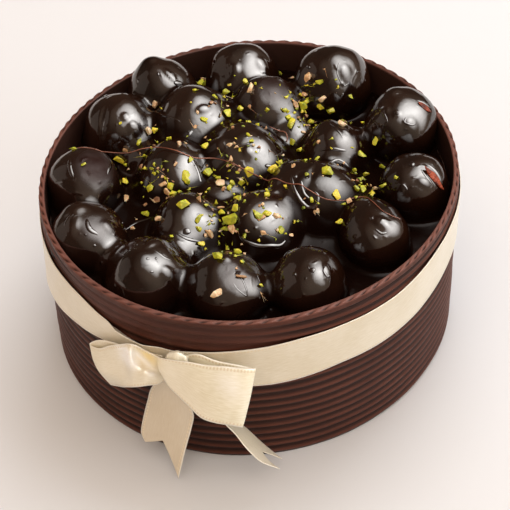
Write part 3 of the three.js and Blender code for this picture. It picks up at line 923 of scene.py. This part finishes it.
def ribbon_piece(name, places, *replaced):
    """A ribbon through a grid of places: rows along its length, columns across its width."""
    rows, columns = places.shape[:2]
    bm = bmesh.new()
    uv = bm.loops.layers.uv.new("UVMap")
    bmesh.ops.create_grid(bm, x_segments=rows - 1, y_segments=columns - 1, size=0.5)
    steps = np.linalg.norm(np.diff(places[:, columns // 2], axis=0), axis=1)
    travelled = np.concatenate([[0], np.cumsum(steps)])
    spots = {}
    for vertex in bm.verts:
        row = round((vertex.co.x + 0.5) * (rows - 1))
        column = round((vertex.co.y + 0.5) * (columns - 1))
        spots[vertex] = (travelled[row], column / (columns - 1))
        vertex.co = places[row, column]
    for face in bm.faces:
        for loop in face.loops:
            loop[uv].uv = spots[loop.vert]
    piece = new_piece(name, bm, satin, "ribbon", *replaced)
    places = coordinates(piece.data) / mm
    bearing = np.arctan2(places[:, 1], places[:, 0])
    out = np.hypot(places[:, 0], places[:, 1]) - collar_radius / mm * oval(bearing)
    flat = np.column_stack([(bearing - knot_bearing) * collar_radius / mm - 0.45 * out,
                            places[:, 2] - 0.87 * out])
    in_bow = name in ("left_loop", "right_loop")
    # Painted light on each piece, growing to the right across the broad loop.
    painted_light = np.full(len(flat), painted_light_shares.get(name, 1))
    if name == "right_loop":
        painted_light = 0.66 + 0.34 * ease(2, 18, flat[:, 0])

    def spot(middle, reach, sharpness=2):
        return np.exp(-np.linalg.norm((flat - middle) / reach, axis=1) ** sharpness)

    # Painted highlights along the ridge and over the broad loop, and the painted golden shade in the fold.
    from_ridge = np.min([along_line(flat, *ends)[1] for ends in zip(ridge, ridge[1:])], axis=0)
    ridge_highlight = np.maximum(np.exp(-(from_ridge / 2.2) ** 2), spot(left_highlight_middle, (6.2, 5.4), 3))
    mark(piece, loop=painted_light, gold=in_bow * (0.06 + 0.8 * spot(fold_shade_middle, (4, 5.5))),
         shine=in_bow * (0.95 * ridge_highlight + 0.6 * spot(broad_highlight_middle, (6, 10))))
    solid = piece.modifiers.new("thickness", "SOLIDIFY")
    solid.thickness = ribbon_thickness
    solid.offset = 0
    return piece


def band_places(rows=721, columns=25):
    """The band at bearings from the knot, to its right: its edges, and how far it stands off the wall."""
    turned = np.linspace(0, 360, rows)
    stops = np.array([
        (0, 71.6, 58), (6, 73.5, 55.5), (12, 75, 53), (20, 76.8, 52), (25, 77.6, 51.8), (33, 79.1, 52.8),
        (44, 79.7, 54.8), (56, 79.7, 54.7), (63, 79.8, 55.4), (71, 81.3, 56.4), (82, 84, 58.8), (92, 85, 60),
        (110, 84, 59), (150, 81.5, 56.5), (200, 80, 55), (290, 80, 55), (315, 80.2, 54.5), (326, 80.5, 55.5),
        (331, 80, 56.6), (335, 78.6, 58.2), (338, 76.9, 59.4), (342, 75.4, 60.7), (346, 74.6, 60.5),
        (353, 72.6, 60), (360, 71.6, 58)])
    hann = np.hanning(13) / np.hanning(13).sum()
    edges = [np.interp(turned, stops[:, 0], stops[:, side])[:-1] for side in (1, 2)]
    edges = [np.convolve(np.pad(edge, 6, "wrap"), hann, "same")[6:-6] for edge in edges]
    top, bottom = [np.append(edge, edge[0])[:, None] for edge in edges]
    across = np.linspace(0, 1, columns)[None, :]
    up = top + (bottom - top) * across
    turned = turned[:, None]
    # On the left the lower edge stands off the wall, and the upper edge is creased outwards.
    out = 0.75 + 0.2 * wobble(31, np.radians(turned) * 6, across * 2)
    out = out + 1.6 * across**2 * ease(302, 312, turned) * (1 - ease(318, 330, turned))
    over_crease = up - 72.0 + (turned - 345) * 0.62
    creased = ease(341, 345.5, turned) * (1 - ease(352, 358, turned))
    out = out + creased * (0.75 * np.clip(over_crease, 0, 3) - 0.8 * np.exp(-(over_crease / 0.55) ** 2))
    return by_the_wall(np.radians(turned) * collar_radius, out * mm, up * mm)


band = ribbon_piece("ribbon", band_places(), "ribbon_band")


# ---- Bow ----
# The ribbon's two ends are tied in a flat bow: a small loop to the left, a broad one to the right
# that falls over the knot, and two tails cut in swallowtails.

def strap_places(rails, notch=0, rows=110, columns=23):
    """A strap through rails along its length. A notch, as a share of it, cuts the end as a swallowtail."""
    lengthwise = np.stack([rail(places, rows) for places in rails], axis=1)
    grid = np.stack([rail(row, columns) for row in lengthwise])
    even = np.linspace(0, 1, rows)
    for column, kept in enumerate(1 - notch * (1 - np.abs(np.linspace(-1, 1, columns)))):
        grid[:, column] = np.stack([np.interp(even * kept, even, axis) for axis in grid[:, column].T], axis=1)
    return by_the_wall(*(grid * mm).transpose(2, 0, 1))


def between(first, last, share, bulge):
    """A rail part of the way from one rail to another, pushed out from the wall by a bulge."""
    middle = np.array(first) * (1 - share) + np.array(last) * share
    middle[:, 1] += bulge
    return middle


# Each rail runs from the knot to the fold of its loop and back, or down its tail, by places in
# millimetres: right of the knot along the wall, out from the wall, and up.
right_top = [
    [2, 3, 69.5], [7, 3, 72.5], [12.5, 3, 75.3], [21, 3.4, 72.3], [28.5, 4, 71], [35, 5, 69.8],
    [37.6, 6.5, 70.6], [35, 7.3, 71.6], [30, 7, 72.2], [24, 6.8, 72.8], [17, 6.8, 72.9], [10.5, 7, 73.8],
    [5, 7.3, 73.8], [0.5, 7.3, 73.3], [-2.2, 7, 72.8], [-3.5, 6.2, 71.8], [-2, 4.6, 70], [0, 4, 69],
]
right_bottom = [
    [2, 2.5, 57], [8, 4.5, 53], [14, 8, 50.5], [21, 13, 48.5], [27, 17.5, 47.5], [31, 20, 47.5],
    [32, 21.3, 48.3], [30.5, 21.8, 49.3], [26.5, 21.3, 50], [22, 20.8, 50.5], [17, 19.3, 51],
    [11.5, 15.6, 53.4], [6.5, 12.6, 56], [2.2, 10.7, 59], [-0.8, 9.2, 63.2], [-2.6, 8, 66.8],
    [-1.6, 5.2, 66], [0, 4, 64.5],
]
bulge = np.array([0, 0, 0, 0, 0, 0.3, 1.0, 2.4, 3.0, 2.2, 0.9, 0.1, 0, 0.3, 0.5, 0.4, 0, 0])
right_loop = [
    right_top, between(right_top, right_bottom, 0.33, bulge), between(right_top, right_bottom, 0.67, bulge),
    right_bottom,
]
left_loop = [
    [[-3, 2.2, 68.5], [-13, 2.4, 68], [-22, 3, 67], [-28, 3.8, 66.4], [-33, 4.2, 64.6], [-37.2, 4.8, 61.5],
     [-39.6, 6, 58.6], [-34.6, 6, 59.5], [-28.2, 5.5, 65.3], [-21.3, 5.5, 70.9], [-15.7, 6.5, 75.4],
     [-13.2, 5.5, 74.3], [-10.3, 5, 72.6], [-7.2, 5, 71.7], [-4.6, 4.8, 70.4], [-1, 4.2, 69]],
    [[-3, 2.2, 65], [-13, 2.6, 62], [-22, 3.2, 60], [-28, 3.8, 58.5], [-33, 4.4, 56], [-36.4, 5.4, 53],
     [-38, 6.8, 51.5], [-32.1, 7, 53.8], [-26, 6.5, 59.1], [-19.6, 7.5, 64.7], [-14.1, 10, 72.4],
     [-13.2, 6.5, 68.7], [-10.9, 4.8, 66.8], [-8.1, 4, 65.9], [-5.2, 4.2, 66], [-1.5, 3.6, 65.5]],
    [[-3, 2.2, 62.5], [-13, 2.8, 58], [-21.5, 3.4, 54.5], [-27, 4, 52], [-31.5, 4.8, 50], [-34.8, 5.8, 48],
     [-36.3, 7, 47], [-30.5, 7.8, 50.5], [-24.2, 7.8, 56], [-18.5, 8.6, 61.5], [-12.8, 12, 68.7],
     [-11.2, 10.5, 67.1], [-9.7, 7.5, 64.7], [-7.6, 5.5, 62.9], [-5, 5.2, 63.1], [-1.5, 4, 62.5]],
    [[-3, 2.2, 60], [-12.5, 3, 54], [-20.5, 3.6, 49], [-25.5, 4.2, 46.5], [-29.5, 5, 45], [-32.5, 6, 44.4],
     [-34, 7.2, 44.2], [-29.4, 8.5, 48.2], [-22.7, 9, 54], [-17.6, 9.5, 58.4], [-12.4, 12.5, 62.5],
     [-9.6, 12.5, 63.9], [-7.4, 11.5, 65.4], [-5.3, 9.5, 63.5], [-3.7, 8, 61.6], [-1, 5, 60]],
    [[-3, 2.5, 56], [-11.5, 3.5, 50], [-18.5, 4, 44.5], [-23, 4.6, 41.5], [-26.5, 5.2, 39.8],
     [-28.8, 5.4, 38], [-30.2, 5.5, 37], [-24.2, 7, 41.5], [-18.6, 11, 48.6], [-14.4, 13.5, 53.7],
     [-11.3, 14, 56.1], [-8.6, 13.8, 57.7], [-6.3, 13, 58.6], [-5.1, 11, 57.3], [-3.6, 9.5, 56.7],
     [-1, 6, 57]],
]
left_tail = [
    [[-3, 2.8, 58], [-6.3, 3, 52], [-9.7, 4, 45], [-11, 5, 38.6], [-12.2, 7, 30.8], [-13.6, 8, 22.4],
     [-13.6, 9.5, 17.5], [-11.3, 11, 13.8]],
    [[0, 3.6, 57.5], [0.8, 5.2, 51.5], [0.8, 6.8, 45], [0.4, 8.2, 38], [-0.6, 9.4, 30], [-2, 11, 21.5],
     [-2.8, 12.8, 14.5], [-3, 14.6, 8]],
    [[3, 4, 57], [7, 6, 51.5], [9.6, 8, 45], [11, 9, 39.5], [9.9, 10.8, 31], [8.3, 13, 22.5],
     [6.7, 15.8, 12.5], [5.2, 18, 2.4]],
]
right_tail = [
    [[4, 3, 51], [12, 2.8, 42.5], [20, 2.8, 36], [30.7, 4, 28.3], [34.1, 4, 23.3], [38.2, 5, 17.5],
     [42.6, 6, 11.5], [47.4, 8, 6.2]],
    [[5.5, 4.5, 53.5], [12.7, 6, 47], [20.4, 7.2, 41.5], [28, 9, 34.5], [31.5, 10.5, 30.6], [35.5, 12.4, 25],
     [40.5, 13.8, 18], [46.5, 14.5, 11]],
    [[7, 6, 56], [13.5, 9, 51], [20.5, 11.5, 47], [25.1, 14, 40.8], [28.6, 16.5, 37.8], [32.8, 20, 32],
     [38, 22, 24.2], [45.2, 21, 15.9]],
]
for name, rails, notch, length, node in (
    ("right_loop", right_loop, 0, 0.09, "bow_loop_right"),
    ("left_loop", left_loop, 0, 0.07, "bow_loop_left"),
    ("left_tail", left_tail, 0.24, 0.05, "bow_tail_left"),
    ("right_tail", right_tail, 0.2, 0.042, "bow_tail_right"),
):
    strap = ribbon_piece(name, strap_places(rails, notch), node)

# The turn of ribbon that holds the bow: folded in three, drawn tight, and hidden by the right loop.
around_knot = np.linspace(0, 2 * math.pi, 61)[:, None]
across = np.linspace(-1, 1, 17)[None, :]
pleats = 0.35 * np.cos(across * 7) * (0.6 + 0.4 * np.cos(around_knot))
knot = ribbon_piece("knot", by_the_wall(
    (4.4 + across * (5.0 + 0.4 * np.cos(2 * around_knot))) * mm,
    (3.9 + (3.1 + pleats - 1.4 * across**2) * np.cos(around_knot)) * mm,
    (67.8 + (7.6 + pleats - 3.2 * across**2) * np.sin(around_knot)) * mm), "bow_knot")


# ---- Studio ----
# A pale floor, a window light from behind on the right, a large soft light overhead, a pale room.

bm = bmesh.new()
bmesh.ops.create_grid(bm, x_segments=1, y_segments=1, size=4)
floor_mesh = bpy.data.meshes.new("floor")
bm.to_mesh(floor_mesh)
bm.free()
floor = bpy.data.objects.new("floor", floor_mesh)
bpy.context.scene.collection.objects.link(floor)
paper = Finish("pale_paper", Roughness=0.7, Specular_IOR_Level=0.15)
paper.paint(Base_Color=paper.ramp(
    paper.noise(2, 2), (0.3, (0.70, 0.712, 0.742)), (0.7, (0.712, 0.724, 0.754))))
floor.data.materials.append(paper.material)


def soft_light(name, place, aim, size, power, colour):
    light = bpy.data.lights.new(name, "AREA")
    light.shape = "SQUARE"
    light.size = size
    light.energy = power
    light.color = colour
    lamp = bpy.data.objects.new(name, light)
    lamp.location = place
    lamp.rotation_euler = (Vector(aim) - Vector(place)).to_track_quat("-Z", "Y").to_euler()
    bpy.context.scene.collection.objects.link(lamp)
    return lamp


window = soft_light("window", (0.35, 0.75, 1.2), (0, 0, 0.03), 1.0, 13, (0.92, 0.96, 1.0))
side = soft_light("side", (1.2, -0.35, 0.45), (0, 0, 0.05), 0.7, 5.4, (0.83, 0.93, 1.0))
front = soft_light("front", (-0.1, -0.75, 1.3), (0, 0, 0.05), 1.0, 5, (1, 0.88, 0.76))
for lamp in (window, side, front):
    lamp.visible_glossy = False
# The large soft light that the glaze mirrors: bright in its middle, fading to nothing.
overhead = soft_light("overhead", (0.60, -0.10, 0.88), (0, 0, 0.08), 2.15, 130, (1, 0.98, 0.96))
# A dim card on the left, which only the glaze mirrors, lifts the left sides of the balls.
card = soft_light("card", (-1.25, 0.1, 0.45), (0, 0, 0.1), 1.2, 0.95, (1, 0.85, 0.74))
for lamp in (overhead, card):
    lamp.visible_diffuse = False
overhead.data.use_nodes = True
glow = Shading(overhead.data.node_tree)
across = glow.node("ShaderNodeNewGeometry").outputs["Parametric"]
from_middle = glow.node("ShaderNodeVectorMath", {"operation": "DISTANCE"}, {0: across, 1: (0.5, 0.5, 0)})
fade = glow.node("ShaderNodeMapRange", None, {
    "Value": from_middle.outputs["Value"], "From Min": 0.5, "From Max": 0.03})
glow.feed(glow.tree.nodes["Emission"].inputs["Strength"], glow.number(fade.outputs["Result"]) ** 1.2)

# The room lights everything evenly, warmly and from all sides, but the glaze mirrors a darker one.
world = bpy.data.worlds.new("room")
world.use_nodes = True
room = Shading(world.node_tree)
even = room.tree.nodes["Background"]
even.inputs["Color"].default_value = (1, 0.80, 0.635, 1)
even.inputs["Strength"].default_value = 0.74
# The mirrored room is brightest towards the overhead light.
sky = room.node("ShaderNodeTexCoord").outputs["Generated"]
lit_side = room.node("ShaderNodeVectorMath", {"operation": "DOT_PRODUCT"}, {
    0: sky, 1: Vector((0.62, -0.30, 0.72)).normalized()})
lift = room.node("ShaderNodeMapRange", None, {
    "Value": lit_side.outputs["Value"], "From Min": 0.2, "From Max": 1.0, "To Min": 0.07, "To Max": 0.6})
mirrored = room.node("ShaderNodeBackground", None, {
    "Color": (1, 0.77, 0.58, 1), "Strength": lift.outputs["Result"]})
path = room.node("ShaderNodeLightPath").outputs["Is Glossy Ray"]
choice = room.node("ShaderNodeMixShader", None, {0: path, 1: even.outputs[0], 2: mirrored.outputs[0]})
room.feed(room.tree.nodes["World Output"].inputs["Surface"], choice.outputs[0])
bpy.context.scene.world = world
bpy.context.scene.view_settings.view_transform = "Standard"

camera_place = Vector((0, -0.5837, 0.6173))
camera_aim = Vector((0.001, -0.0075, 0.0419))
camera_data = bpy.data.cameras.new("camera")
camera_data.lens = 116.3
camera_data.sensor_width = 36
camera_data.clip_start = 0.05
camera = bpy.data.objects.new("camera", camera_data)
aimed = (camera_aim - camera_place).to_track_quat("-Z", "Y").to_matrix().to_4x4()
camera.matrix_world = Matrix.Translation(camera_place) @ aimed @ Matrix.Rotation(math.radians(-2.33), 4, "Z")
bpy.context.scene.collection.objects.link(camera)
bpy.context.scene.camera = camera
